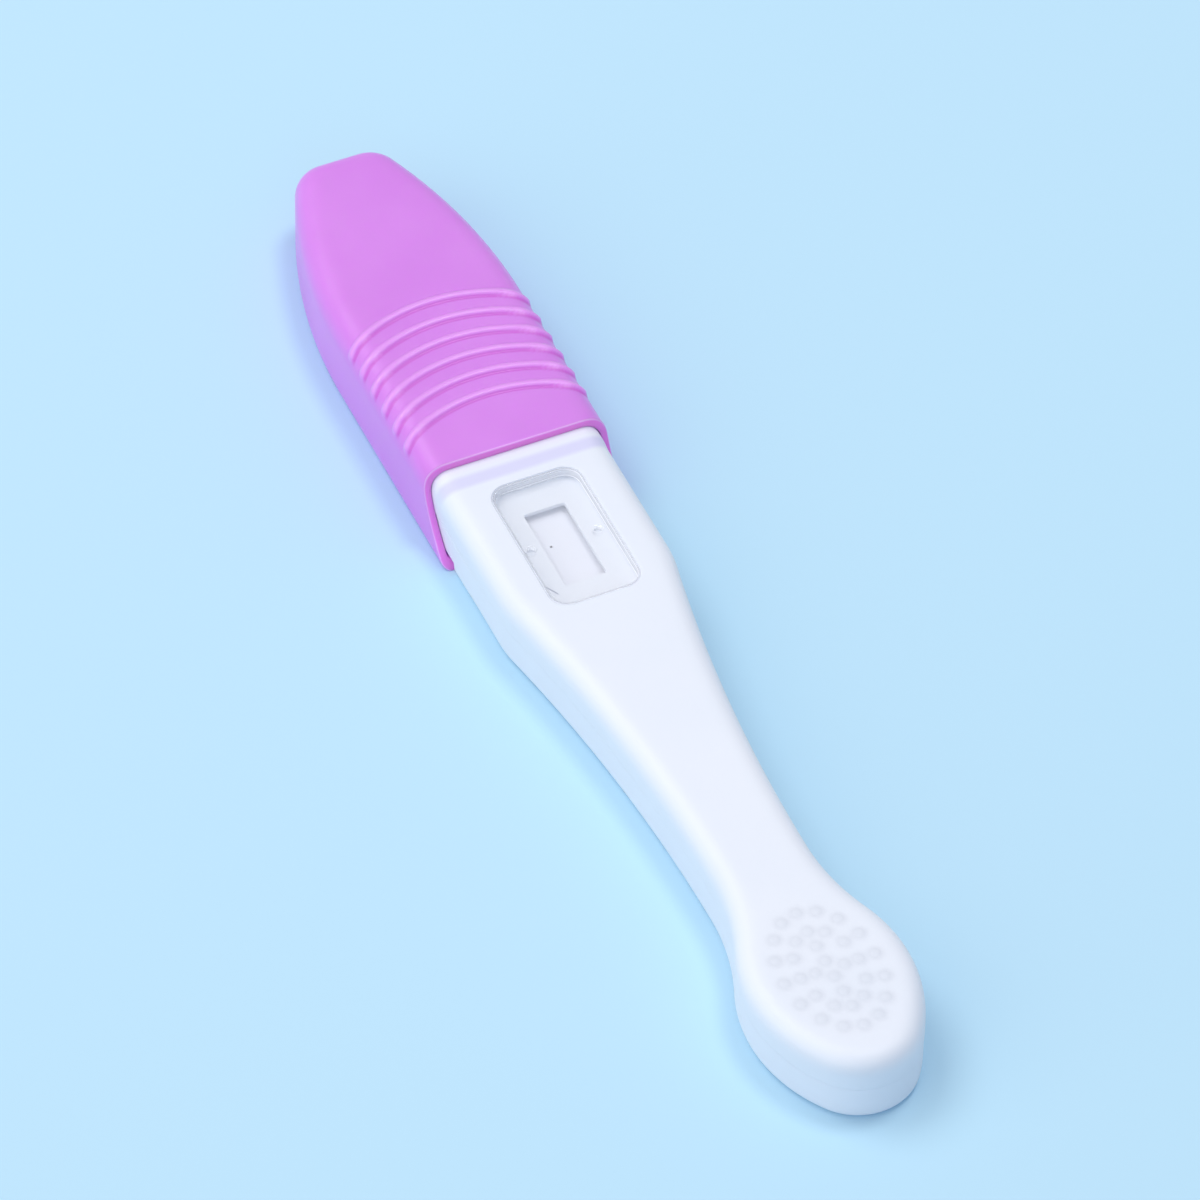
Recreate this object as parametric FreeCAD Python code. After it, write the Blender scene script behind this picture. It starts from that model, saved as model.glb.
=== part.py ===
import FreeCAD, Part
import math
import os

from FreeCAD import Vector

# Midstream test stick with a slip-off cap. All sizes are in millimetres.
# Inside this script x = 0 is the top edge of the cap's mouth and +X runs to the paddle's tip,
# y = 0 is the plane of symmetry and z = 0 is the underside. Each solid is moved on export so
# that the origin is the middle of the underside.

# Handle outline at the parting plane
collar_half_width = 10.4
waist_half_width = 5.75
waist_x = 65.6
taper_radius = 219.0
shoulder_radius = 16.0
paddle_center_x = 83.3
paddle_half_length = 13.9
paddle_half_width = 9.3
paddle_tip_radius = 7.0

# Handle section
handle_height = 9.1
parting_z = 4.8
top_edge_radius = 2.2
bottom_edge_chamfer = 0.45
shell_wall = 1.2
parting_step = 0.08
fuse_depth = 0.02

# Collar that the cap slips over, with its raised bead
stub_length = 5.0
stub_edge_radius = 1.6
bead_side = 0.05
bead_height = 0.4
bead_end_x = 2.2
bead_slope_length = 0.8

# Nose that holds the wick
nose_length = 12.0
nose_root_half_width = 7.6
nose_tip_half_width = 6.2
nose_height = 6.0
nose_edge_radius = 1.0
channel_clearance = 0.1

# Window recess, opening and lens
recess_start_x = 4.3
recess_length = 19.8
recess_half_width = 5.5
recess_corner_radius = 2.3
recess_depth = 1.65
recess_floor = 0.9
window_start_x = 8.1
window_length = 11.7
window_half_width = 2.5
window_corner_radius = 0.25
lens_base = 0.6
lens_rim_width = 0.6
lens_rim_drop = 0.15
lens_clearance = 0.08
lens_peg_radius = 0.55
lens_peg_x = 13.8
lens_peg_y = 4.08

# Grip pimples on the paddle, in two oval rings with a few inside them
grip_center_x = 83.6
grip_counts = (16, 12)
grip_half_lengths = (8.7, 5.9)
grip_half_widths = (5.3, 3.4)
grip_inner_places = ((-3.4, 0.0), (-1.2, 0.0), (1.2, 0.0), (3.4, 0.0), (0.0, -1.7), (0.0, 1.7))
pimple_sides = 8
pimple_radius = 0.5
pimple_top_radius = 0.24
pimple_height = 0.22

# Cap
cap_length = 51.8
cap_straight_length = 24.0
cap_plan_radius = 66.0
cap_corner_radius = 2.3
cap_draft = 0.15
cap_top_radius = 2.6
cap_bottom_chamfer = 0.6
cap_wall = 0.8
cap_lip_reach = 6.4
cap_lip_sag = 1.3
cap_clearance = 0.2
cap_side_clearance = 0.15
cap_top_clearance = 0.1
mouth_margin = 5.0

# Ribs across the cap
rib_count = 6
rib_pitch = 3.18
rib_first_x = -24.5
rib_arc_radius = 20.0
rib_width = 0.95
rib_height = 0.35
rib_edge_chamfer = 0.22
rib_end_z = 8.3

# Test strip and wick
strip_half_width = 2.8
card_thickness = 0.3
card_length = 46.0
membrane_thickness = 0.15
membrane_start_x = 7.0
conjugate_thickness = 0.3
sample_pad_start_x = -7.0
sample_pad_thickness = 0.5
absorbent_pad_thickness = 0.8
wick_half_width = 3.8
wick_thickness = 2.2
wick_tip_x = -42.0
wick_corner_radius = 1.6
strip_clearance = 0.1

# Pins and sockets that join the shells, as (x, y)
pin_places = ((0.2, 7.0), (0.2, -7.0), (50.0, 0.0), (84.0, 0.0))
pin_radius = 0.95
pin_clearance = 0.05
pin_depth = 2.4
boss_radius = 1.65

# Cradle that carries the strip
rail_thickness = 0.9
cross_rib_thickness = 0.9
cross_rib_pitch = 7.5

# Derived places
nose_start_x = -stub_length - nose_length
bead_top_z = handle_height + bead_height
cap_height = bead_top_z + cap_top_clearance + cap_wall
cap_half_width = collar_half_width + bead_side + cap_side_clearance + cap_wall
recess_end_x = recess_start_x + recess_length
recess_floor_z = handle_height - recess_depth
recess_under_z = recess_floor_z - recess_floor
card_top_z = recess_under_z - strip_clearance - max(conjugate_thickness, membrane_thickness)
card_bottom_z = card_top_z - card_thickness
card_start_x = 0.5
card_end_x = card_start_x + card_length
sample_pad_top_z = card_top_z + sample_pad_thickness
wick_bottom_z = card_top_z - wick_thickness
conjugate_start_x = recess_start_x - shell_wall - strip_clearance
membrane_end_x = recess_end_x + shell_wall + strip_clearance
wick_end_x = card_start_x - strip_clearance
lip_step_z = cap_wall + cap_clearance
lip_step_x = cap_lip_reach + 2.0 * cap_clearance
ceiling_z = handle_height - shell_wall
tip_x = paddle_center_x + paddle_half_length
closed_end_x = -cap_length
block_front_x = cap_lip_reach + 2.0 * cap_lip_sag
middle_x = (tip_x + closed_end_x) / 2.0

# Arcs of the paddle's sides and of the flare from the waist, each tangent to its neighbours
paddle_tip_reach = paddle_half_length - paddle_tip_radius
paddle_side_radius = (paddle_half_width ** 2 + paddle_tip_reach ** 2 - paddle_tip_radius ** 2) / (
    2.0 * (paddle_half_width - paddle_tip_radius))
flare_reach = paddle_center_x - waist_x
flare_rise = waist_half_width - paddle_half_width + paddle_side_radius
flare_radius = (flare_reach ** 2 + flare_rise ** 2 - paddle_side_radius ** 2) / (
    2.0 * (paddle_side_radius - flare_rise))


def line(start, end):
    return Part.LineSegment(start, end).toShape()


def arc(center, radius, start, end):
    """Arc of less than half a turn about a centre, between two points on it."""
    middle = (start + end) * 0.5 - center
    middle = center + middle * (radius / middle.Length)
    return Part.Arc(start, middle, end).toShape()


def mirrored(edges):
    """Copies of the edges on the other side of the plane of symmetry, in reverse order."""
    return [edge.mirror(Vector(0, 0, 0), Vector(0, 1, 0)) for edge in reversed(edges)]


def box_between(x_low, x_high, y_low, y_high, z_low, z_high):
    return Part.makeBox(x_high - x_low, y_high - y_low, z_high - z_low, Vector(x_low, y_low, z_low))


def half_space(x_low, x_high, z_low, z_high):
    """Box over the full width of the object."""
    return box_between(x_low, x_high, -2.0 * cap_half_width, 2.0 * cap_half_width, z_low, z_high)


def cylinder(x, y, radius, z_low, z_high):
    return Part.makeCylinder(radius, z_high - z_low, Vector(x, y, z_low))


def rounded_plate(x_low, x_high, half_width, radius, z_low, z_high):
    """Upright prism on a rectangle with round corners, centred on y = 0."""
    plate = box_between(x_low, x_high, -half_width, half_width, z_low, z_high)
    upright = [edge for edge in plate.Edges if edge.BoundBox.ZLength > 0.99 * (z_high - z_low)]
    corner = min(radius, 0.49 * (x_high - x_low), 0.98 * half_width)
    return plate.makeFillet(corner, upright)


def flat_edges(shape, z, x_low, x_high):
    """Edges that lie at height z and reach neither past x_low nor past x_high."""
    found = []
    for edge in shape.Edges:
        box = edge.BoundBox
        level = max(abs(box.ZMin - z), abs(box.ZMax - z)) < 1e-4
        if level and (box.XMin > x_low + 1e-3 or box.XLength > 1e-3) and box.XMax < x_high - 1e-3:
            found.append(edge)
    return found


def across(point):
    """The same place on the other side of the plane of symmetry."""
    return Vector(point.x, -point.y, point.z)


def towards(start, end, distance):
    """Point at a distance from start on the way to end."""
    return start + (end - start) * (distance / (end - start).Length)


def handle_outline(inset, rear_x):
    """Plan of the handle at the parting plane: collar, long concave taper, waist and paddle."""
    collar_y = collar_half_width - inset
    waist_y = waist_half_width - inset
    round_r = shoulder_radius - inset
    taper_r = taper_radius + inset
    flare_r = flare_radius + inset
    side_r = paddle_side_radius - inset
    tip_r = paddle_tip_radius - inset
    taper_center = Vector(waist_x, waist_y + taper_r, parting_z)
    round_y = collar_y - round_r
    reach = math.sqrt((taper_r + round_r) ** 2 - (taper_center.y - round_y) ** 2)
    round_center = Vector(waist_x - reach, round_y, parting_z)
    flare_center = Vector(waist_x, waist_y + flare_r, parting_z)
    side_center = Vector(paddle_center_x, paddle_half_width - paddle_side_radius, parting_z)
    tip_center = Vector(paddle_center_x + paddle_tip_reach, 0, parting_z)
    rear = Vector(rear_x, collar_y, parting_z)
    shoulder_start = Vector(round_center.x, collar_y, parting_z)
    shoulder_end = towards(taper_center, round_center, taper_r)
    waist = Vector(waist_x, waist_y, parting_z)
    flare_end = towards(flare_center, side_center, flare_r)
    tip_start = towards(side_center, tip_center, side_r)
    side = [
        line(rear, shoulder_start),
        arc(round_center, round_r, shoulder_start, shoulder_end),
        arc(taper_center, taper_r, shoulder_end, waist),
        arc(flare_center, flare_r, waist, flare_end),
        arc(side_center, side_r, flare_end, tip_start),
    ]
    tip = Part.Arc(tip_start, Vector(tip_center.x + tip_r, 0, parting_z), across(tip_start)).toShape()
    back = line(across(rear), rear)
    return Part.Wire(Part.sortEdges(side + [tip] + mirrored(side) + [back])[0])


def handle_half(inset, z_end, rear_x):
    """One half of the handle, from the parting plane to its flat outer face."""
    return Part.Face(handle_outline(inset, rear_x)).extrude(Vector(0, 0, z_end - parting_z))


def collar_section(x, half_width, z_end, radius):
    """Upright section of one half of the collar: a half rectangle with two round corners."""
    up = 1.0 if z_end > parting_z else -1.0
    foot = Vector(x, half_width, parting_z)
    round_start = Vector(x, half_width, z_end - up * radius)
    round_center = Vector(x, half_width - radius, z_end - up * radius)
    round_end = Vector(x, half_width - radius, z_end)
    side = [line(foot, round_start), arc(round_center, radius, round_start, round_end)]
    cross = line(round_end, Vector(x, radius - half_width, z_end))
    base = line(Vector(x, -half_width, parting_z), foot)
    return Part.Wire(Part.sortEdges(side + [cross] + mirrored(side) + [base])[0])


def nose_form():
    """Whole tapered nose with its long edges rounded."""
    low_z = (wick_bottom_z + card_top_z - nose_height) / 2.0
    root_x = shell_wall - stub_length
    corners = [
        Vector(root_x, -nose_root_half_width, low_z),
        Vector(nose_start_x, -nose_tip_half_width, low_z),
        Vector(nose_start_x, nose_tip_half_width, low_z),
        Vector(root_x, nose_root_half_width, low_z),
    ]
    nose = Part.Face(Part.makePolygon(corners + corners[:1])).extrude(Vector(0, 0, nose_height))
    long_edges = [edge for edge in nose.Edges if edge.BoundBox.XLength > nose_length / 2.0]
    return nose.makeFillet(nose_edge_radius, long_edges)


def wick_channel():
    """Space through the nose for the wick, and above it for the pad that laps over the wick."""
    side = wick_half_width + channel_clearance
    inner_x = -stub_length + shell_wall + 1.0
    low_z = wick_bottom_z - channel_clearance
    channel = box_between(nose_start_x - 1.0, inner_x, -side, side, low_z, card_top_z + channel_clearance)
    pad_x = sample_pad_start_x - channel_clearance
    pad_side = strip_half_width + channel_clearance
    over = box_between(pad_x, inner_x, -pad_side, pad_side, card_top_z, sample_pad_top_z + channel_clearance)
    return channel.fuse(over)


def pins():
    """Pins that hang from the upper shell's ceiling and enter the sockets."""
    top_z = ceiling_z + shell_wall / 2.0
    return [cylinder(x, y, pin_radius, parting_z - pin_depth, top_z) for x, y in pin_places]


def sockets():
    """Bosses that stand on the lower shell's floor, and the holes that take the pins."""
    bosses = [cylinder(x, y, boss_radius, shell_wall / 2.0, parting_z) for x, y in pin_places]
    hole_radius = pin_radius + pin_clearance
    hole_z = parting_z - pin_depth - pin_clearance
    holes = [cylinder(x, y, hole_radius, hole_z, parting_z + 1.0) for x, y in pin_places]
    return bosses, holes


def pimple_places():
    """Plan positions of the grip pimples: rings around the paddle's centre and a few inside."""
    places = []
    for count, half_length, half_width in zip(grip_counts, grip_half_lengths, grip_half_widths):
        for step in range(count):
            angle = 2.0 * math.pi * step / count
            places.append((half_length * math.cos(angle), half_width * math.sin(angle)))
    places += list(grip_inner_places)
    return [(grip_center_x + x, y) for x, y in places]


def pimples():
    """Low studs with sloping sides on the paddle's top."""
    levels = ((handle_height - fuse_depth, pimple_radius), (handle_height + pimple_height, pimple_top_radius))
    turns = [2.0 * math.pi * step / pimple_sides for step in range(pimple_sides)]
    shapes = []
    for x, y in pimple_places():
        wires = []
        for z, radius in levels:
            ring = [Vector(x + radius * math.cos(turn), y + radius * math.sin(turn), z) for turn in turns]
            wires.append(Part.makePolygon(ring + ring[:1]))
        shapes.append(Part.makeLoft(wires, True, True))
    return shapes


def hold_down_ribs():
    """Cross ribs under the upper shell's ceiling that stop just above the absorbent pad."""
    low_z = card_top_z + absorbent_pad_thickness + strip_clearance
    first_x = recess_end_x + shell_wall + cross_rib_pitch / 2.0
    count = int((card_end_x - first_x) / cross_rib_pitch) + 1
    ribs = []
    for step in range(count):
        x = first_x + step * cross_rib_pitch
        rib_end_x = x + cross_rib_thickness
        rib_top_z = ceiling_z + shell_wall / 2.0
        ribs.append(box_between(x, rib_end_x, -strip_half_width, strip_half_width, low_z, rib_top_z))
    return ribs


def upper_shell():
    """Top half of the handle: bead, nose, window recess with its opening, pins and grip pimples."""
    rear_x = -stub_length
    body = handle_half(0.0, handle_height, rear_x)
    body = body.makeFillet(top_edge_radius, flat_edges(body, handle_height, rear_x, tip_x + 1.0))
    bead_y = collar_half_width + bead_side
    slope_end_x = bead_end_x + bead_slope_length
    foot_y = collar_half_width - fuse_depth
    foot_z = handle_height - fuse_depth
    sections = [
        collar_section(rear_x, bead_y, bead_top_z, top_edge_radius),
        collar_section(bead_end_x, bead_y, bead_top_z, top_edge_radius),
        collar_section(slope_end_x, foot_y, foot_z, top_edge_radius),
    ]
    body = body.fuse(Part.makeLoft(sections, True, True))
    body = body.fuse(nose_form().common(half_space(nose_start_x - 1.0, 0.0, parting_z, cap_height)))
    cavity = handle_half(shell_wall, ceiling_z, rear_x + shell_wall)
    seat_y = recess_half_width + shell_wall
    seat_x_low = recess_start_x - shell_wall
    seat_x_high = recess_end_x + shell_wall
    cavity = cavity.cut(box_between(seat_x_low, seat_x_high, -seat_y, seat_y, recess_under_z, cap_height))
    body = body.cut([cavity, wick_channel()])
    recess = rounded_plate(recess_start_x, recess_end_x, recess_half_width, recess_corner_radius,
                           recess_floor_z, cap_height)
    window_end_x = window_start_x + window_length
    window = rounded_plate(window_start_x, window_end_x, window_half_width, window_corner_radius,
                           recess_under_z - 1.0, cap_height)
    peg_hole = lens_peg_radius + lens_clearance
    holes = [cylinder(lens_peg_x, y, peg_hole, recess_under_z - 1.0, cap_height)
             for y in (-lens_peg_y, lens_peg_y)]
    body = body.fuse(pins() + hold_down_ribs())
    body = body.cut([recess, window] + holes)
    return body.fuse(pimples()).removeSplitter()


def lower_shell():
    """Bottom half of the handle: nose, stepped collar under the cap's lip, sockets and cradle."""
    rear_x = -stub_length
    body = handle_half(parting_step, 0.0, rear_x)
    body = body.makeChamfer(bottom_edge_chamfer, flat_edges(body, 0.0, rear_x, tip_x + 1.0))
    body = body.cut(half_space(rear_x - 1.0, lip_step_x, -1.0, parting_z + 1.0))
    stub_y = collar_half_width - parting_step
    stub_end_x = lip_step_x + shell_wall
    sections = [collar_section(x, stub_y, lip_step_z, stub_edge_radius) for x in (rear_x, stub_end_x)]
    body = body.fuse(Part.makeLoft(sections, True, True))
    body = body.fuse(nose_form().common(half_space(nose_start_x - 1.0, 0.0, 0.0, parting_z)))
    cavity = handle_half(shell_wall + parting_step, shell_wall, rear_x + shell_wall)
    cavity = cavity.cut(half_space(rear_x, stub_end_x, 0.0, lip_step_z + shell_wall))
    body = body.cut([cavity, wick_channel()])
    bosses, holes = sockets()
    fittings = bosses[0].fuse(bosses[1:] + cradle())
    raised_floor = lip_step_z + shell_wall / 2.0
    fittings = fittings.cut(half_space(rear_x - 1.0, stub_end_x, -1.0, raised_floor))
    return body.fuse(fittings).cut(holes).removeSplitter()


def cradle():
    """Two rails beside the strip and cross ribs under its card."""
    inner_y = strip_half_width + strip_clearance
    outer_y = inner_y + rail_thickness
    floor_z = shell_wall / 2.0
    rail_start_x = card_start_x
    shapes = []
    for side in (-1.0, 1.0):
        y_low = min(side * inner_y, side * outer_y)
        y_high = y_low + rail_thickness
        shapes.append(box_between(rail_start_x, card_end_x, y_low, y_high, floor_z, card_top_z))
    count = int((card_end_x - rail_start_x) / cross_rib_pitch) + 1
    for step in range(count):
        x = rail_start_x + step * cross_rib_pitch
        shapes.append(box_between(x, x + cross_rib_thickness, -inner_y, inner_y, floor_z, card_bottom_z))
    stop_x = card_end_x + strip_clearance
    shapes.append(box_between(stop_x, stop_x + cross_rib_thickness, -outer_y, outer_y, floor_z, card_top_z))
    return shapes


def window_lens():
    """Clear tray in the recess: a thin base, a low rim and two pegs."""
    half = recess_half_width - lens_clearance
    x_low = recess_start_x + lens_clearance
    x_high = recess_end_x - lens_clearance
    radius = recess_corner_radius - lens_clearance
    top_z = handle_height - lens_rim_drop
    base_z = recess_floor_z + lens_base
    lens = rounded_plate(x_low, x_high, half, radius, recess_floor_z, top_z)
    rim = lens_rim_width
    lens = lens.cut(rounded_plate(x_low + rim, x_high - rim, half - rim, radius - rim, base_z, top_z + 1.0))
    pegs = [cylinder(lens_peg_x, y, lens_peg_radius, recess_under_z + lens_clearance, base_z)
            for y in (-lens_peg_y, lens_peg_y)]
    return lens.fuse(pegs).removeSplitter()


def cap_outline(inset, z):
    """Plan of the cap: parallel sides that curve in towards a blunt closed end."""
    half = cap_half_width - inset
    sweep_r = cap_plan_radius - inset
    end_x = closed_end_x + inset
    corner_r = cap_corner_radius - inset
    bend = Vector(-cap_straight_length, half, z)
    sweep_center = Vector(bend.x, half - sweep_r, z)
    corner_x = end_x + corner_r
    corner_y = sweep_center.y + math.sqrt((sweep_r - corner_r) ** 2 - (corner_x - bend.x) ** 2)
    corner_center = Vector(corner_x, corner_y, z)
    sweep_end = sweep_center + (corner_center - sweep_center) * (sweep_r / (sweep_r - corner_r))
    corner_end = Vector(end_x, corner_y, z)
    front = Vector(block_front_x, half, z)
    side = [
        line(front, bend),
        arc(sweep_center, sweep_r, bend, sweep_end),
        arc(corner_center, corner_r, sweep_end, corner_end),
    ]
    end = line(corner_end, Vector(end_x, -corner_y, z))
    mouth = line(Vector(block_front_x, -half, z), front)
    return Part.Wire(Part.sortEdges(side + [end] + mirrored(side) + [mouth])[0])


def cap_block(inset, draft):
    """Block on the cap's plan, drawn inset from its outer skin, running past the mouth."""
    wires = [cap_outline(inset, inset), cap_outline(inset + draft, cap_height - inset)]
    return Part.makeLoft(wires, True, True)


def cap_rim(shape, z):
    """Edges round the cap's sides and closed end at height z."""
    return flat_edges(shape, z, -2.0 * cap_length, block_front_x)


def cap_skin(inset):
    """The block with the cap's soft upper edge and its small lower chamfer."""
    skin = cap_block(inset, cap_draft)
    skin = skin.makeFillet(cap_top_radius - inset, cap_rim(skin, cap_height - inset))
    return skin.makeChamfer(cap_bottom_chamfer, cap_rim(skin, inset))


def cap_cavity():
    """Hollow of the cap, its upper corners cut back so that the wall keeps its thickness."""
    block = cap_block(cap_wall, 0.0)
    corner = (cap_top_radius - cap_wall) * (2.0 - math.sqrt(2.0))
    return block.makeChamfer(corner, cap_rim(block, cap_height - cap_wall))


def mouth_cutter():
    """Everything in front of the cap's scooped mouth, which reaches furthest on the underside."""
    top = Vector(0, 0, cap_height)
    lip = Vector(cap_lip_reach, 0, 0)
    chord = lip - top
    normal = Vector(chord.z, 0, -chord.x)
    normal.normalize()
    middle = (top + lip) * 0.5 + normal * cap_lip_sag
    y = cap_half_width + mouth_margin
    ahead_x = block_front_x + mouth_margin
    above = Vector(0, 0, cap_height + mouth_margin)
    ahead = Vector(ahead_x, 0, cap_height + mouth_margin)
    below = Vector(ahead_x, 0, -mouth_margin)
    under = Vector(cap_lip_reach, 0, -mouth_margin)
    edges = [line(above, top), Part.Arc(top, middle, lip).toShape(), line(lip, under)]
    edges += [line(under, below), line(below, ahead), line(ahead, above)]
    face = Part.Face(Part.Wire(edges))
    face.translate(Vector(0, -y, 0))
    return face.extrude(Vector(0, 2.0 * y, 0))


def rib_rims(rib, center):
    """The rib's long upper edges: those that keep one distance from its arc's centre."""
    rims = []
    for edge in rib.Edges:
        if edge.BoundBox.ZMax < rib_end_z + 1e-3:
            continue
        ends = [vertex.Point for vertex in edge.Vertexes]
        reach = [math.hypot(point.x - center.x, point.y - center.y) for point in ends]
        if abs(reach[0] - reach[1]) < 0.01:
            rims.append(edge)
    return rims


def cap_ribs():
    """Arched ribs that stand proud of the cap's top and wrap over its shoulders."""
    skin = cap_skin(-rib_height)
    ribs = []
    for step in range(rib_count):
        crest_x = rib_first_x + step * rib_pitch
        center = Vector(crest_x + rib_arc_radius, 0, rib_end_z)
        outer = Part.makeCylinder(rib_arc_radius + rib_width / 2.0, cap_height, center)
        inner = Part.makeCylinder(rib_arc_radius - rib_width / 2.0, cap_height, center)
        band = outer.cut(inner).common(half_space(crest_x - 2.0, center.x, 0.0, 2.0 * cap_height))
        rib = band.common(skin)
        ribs.append(rib.makeChamfer(rib_edge_chamfer, rib_rims(rib, center)))
    return ribs


def cap():
    """Thin-walled cap with a scooped mouth and grip ribs."""
    body = cap_skin(0.0).cut(mouth_cutter())
    return body.fuse(cap_ribs()).cut(cap_cavity()).removeSplitter()


def absorbent_wick():
    """Fibre wick: clamped in the nose, with its round-cornered end under the cap."""
    wick = box_between(wick_tip_x, wick_end_x, -wick_half_width, wick_half_width, wick_bottom_z, card_top_z)
    corners = [e for e in wick.Edges if e.BoundBox.ZLength > 0.1 and e.BoundBox.XMax < wick_tip_x + 1e-3]
    return wick.makeFillet(wick_corner_radius, corners)


def strip_layer(x_low, x_high, z_low, thickness):
    return box_between(x_low, x_high, -strip_half_width, strip_half_width, z_low, z_low + thickness)


def save(name, shape):
    """Check one sub-part, move it to the common origin and write it."""
    solids = shape.Solids
    if len(solids) != 1 or not shape.isValid():
        raise ValueError("%s has %d solids, valid %s" % (name, len(solids), shape.isValid()))
    moved = solids[0].translated(Vector(-middle_x, 0, 0))
    moved.exportStep(os.path.join("parts", name + ".step"))
    print(name, round(moved.Volume, 2), "mm3")


os.makedirs("parts", exist_ok=True)
save("cap", cap())
save("upper_shell", upper_shell())
save("lower_shell", lower_shell())
save("window_lens", window_lens())
save("absorbent_wick", absorbent_wick())
save("backing_card", strip_layer(card_start_x, card_end_x, card_bottom_z, card_thickness))
save("sample_pad", strip_layer(sample_pad_start_x, conjugate_start_x, card_top_z, sample_pad_thickness))
save("conjugate_pad", strip_layer(conjugate_start_x, membrane_start_x, card_top_z, conjugate_thickness))
save("membrane", strip_layer(membrane_start_x, membrane_end_x, card_top_z, membrane_thickness))
save("absorbent_pad", strip_layer(membrane_end_x, card_end_x, card_top_z, absorbent_pad_thickness))
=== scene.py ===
import math

import bmesh
import bpy
import numpy as np
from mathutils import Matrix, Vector


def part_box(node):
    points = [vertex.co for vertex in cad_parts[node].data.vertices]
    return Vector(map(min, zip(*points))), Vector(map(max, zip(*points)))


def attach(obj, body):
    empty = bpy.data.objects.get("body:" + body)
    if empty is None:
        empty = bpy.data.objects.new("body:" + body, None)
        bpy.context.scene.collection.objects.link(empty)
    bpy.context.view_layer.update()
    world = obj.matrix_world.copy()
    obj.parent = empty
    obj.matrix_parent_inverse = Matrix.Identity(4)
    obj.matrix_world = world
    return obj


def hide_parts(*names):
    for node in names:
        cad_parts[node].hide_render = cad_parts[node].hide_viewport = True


# Looks of a capped test stick that lies flat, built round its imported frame. Shapes are drawn in
# millimetres from the top edge of the cap's mouth, with +X towards the paddle, and are placed
# in the frame, in metres, when their mesh is made.

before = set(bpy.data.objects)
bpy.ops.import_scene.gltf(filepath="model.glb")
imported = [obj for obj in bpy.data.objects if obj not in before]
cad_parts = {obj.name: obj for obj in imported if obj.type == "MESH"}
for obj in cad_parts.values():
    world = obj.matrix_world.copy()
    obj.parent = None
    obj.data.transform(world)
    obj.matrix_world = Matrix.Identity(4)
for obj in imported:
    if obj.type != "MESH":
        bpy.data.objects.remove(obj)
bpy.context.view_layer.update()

MM = 0.001

# Corners that are read from the frame
cap_low, cap_high = [corner / MM for corner in map(Vector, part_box("cap"))]
wick_low, wick_high = [corner / MM for corner in map(Vector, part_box("absorbent_wick"))]
membrane_high = Vector(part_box("membrane")[1]) / MM

# Cap
lip_reach = 6.4
lip_sag = 1.3
lip_depth = 0.22
lip_round_share = 0.55
lip_inner_share = 0.2
cap_wall = 0.93
# Rows of the lip's cut face from the outer skin below this count carry a painted highlight along its edge;
# the rows from it on carry painted light
lip_highlight_rows = 3
cap_inner_radius = 2.2
cap_inner_roundness = 2.0
cap_height = 10.4
cap_half_width = 11.4
cap_straight_length = 24.0
cap_plan_radius = 66.0
cap_corner_radius = 4.2
cap_top_radius = 3.3
cap_top_roundness = 2.6
cap_crown = 0.22
cap_bottom_radius = 1.0
cap_inner_low_radius = 0.4
cap_side_lean = 0.15
mouth_zone = 3.0
cap_hairs = ((-16.8, 2.9, -16.3, 3.3), (-15.05, 5.8, -14.95, 6.3), (-10.9, 2.8, -10.5, 3.0),
             (-10.5, 3.0, -10.1, 3.45), (-5.95, 1.2, -5.35, 0.85))
hair_reach = 0.03
hair_fade = 0.05

# Ribs across the cap
rib_count = 6
rib_pitch = 3.18
rib_first_x = -24.5
rib_arc_radius = 20.0
rib_width = 1.5
rib_fullness = 2.0
rib_height = 0.34
rib_end_z = 8.4
rib_end_fade = 0.6
# Place and width of the painted shade at the ribs' feet towards the mouth, as shares of the rib's half width
foot_shade_place = 0.88
foot_shade_width = 0.4

# Handle
rear_x = -5.0
collar_half_width = 10.4
waist_half_width = 5.75
waist_x = 65.6
taper_radius = 219.0
shoulder_radius = 16.0
paddle_center_x = 83.3
paddle_half_length = 13.9
paddle_half_width = 9.3
paddle_tip_radius = 7.0
handle_height = 9.1
parting_z = 4.8
parting_step = 0.08
seam_round = 0.14
top_edge_radius = 2.8
top_edge_roundness = 2.6
bottom_edge_radius = 0.95
shell_wall = 1.2
flat_border = 0.5
bead_height = 0.4
bead_side = 0.05
bead_end_x = 1.4
bead_slope_length = 1.9
# Middle of the painted lavender shade on the bead's slope
painted_slope_shade_x = 2.35
lip_step_z = 1.0
lip_step_x = 6.8
collar_fill_end_x = 14.0
collar_fill_fade = 6.0

# Recess, window and clear tray
recess_start_x = 4.3
recess_length = 19.8
recess_half_width = 5.5
recess_corner_radius = 2.3
recess_depth = 1.65
recess_floor = 0.9
recess_apron = 0.6
recess_far_apron = 1.0
crease_border = 0.15
recess_edge_round = 0.12
window_start_x = 8.1
window_length = 11.7
window_half_width = 2.5
window_corner_radius = 0.25
window_edge_round = 0.05
window_rebate = 1.2
window_rebate_height = 0.45
tray_clearance = 0.03
tray_base = 0.6
tray_rim_width = 0.3
tray_foot_radius = 0.16
tray_rim_drop = 0.04
tray_edge_round = 0.15
tray_lift = 0.02
tray_inner_mirror = 0.6
tray_refraction = 0.04
peg_radius = 0.55
peg_x = 13.8
peg_y = 4.08
peg_clearance = 0.02
peg_depth = 0.25
peg_mark = ((0.78, 0.0), (0.7, 0.0), (0.66, 0.04), (0.6, 0.07), (0.52, 0.07), (0.45, 0.03), (0.38, 0.0),
            (0.28, 0.0), (0.22, -0.05), (0.15, -0.1), (0.05, -0.12))

# Marks on the clear tray and the membrane, as the photograph shows them
tray_scratch = ((19.6, -4.92, 8.05), (21.2, -4.02, 8.05))
scratch_half_width = 0.045
membrane_speck = (12.8, -1.17)
speck_reach = (0.14, 0.18)

# Grip pimples
grip_center_x = 83.35
grip_counts = (16, 12)
grip_half_lengths = (8.45, 5.6)
grip_half_widths = (5.3, 3.4)
grip_line_half_length = 3.4
grip_line_half_width = 1.7
pimple_radius = 1.05
pimple_height = 0.22
pimple_sink = 0.18

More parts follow.
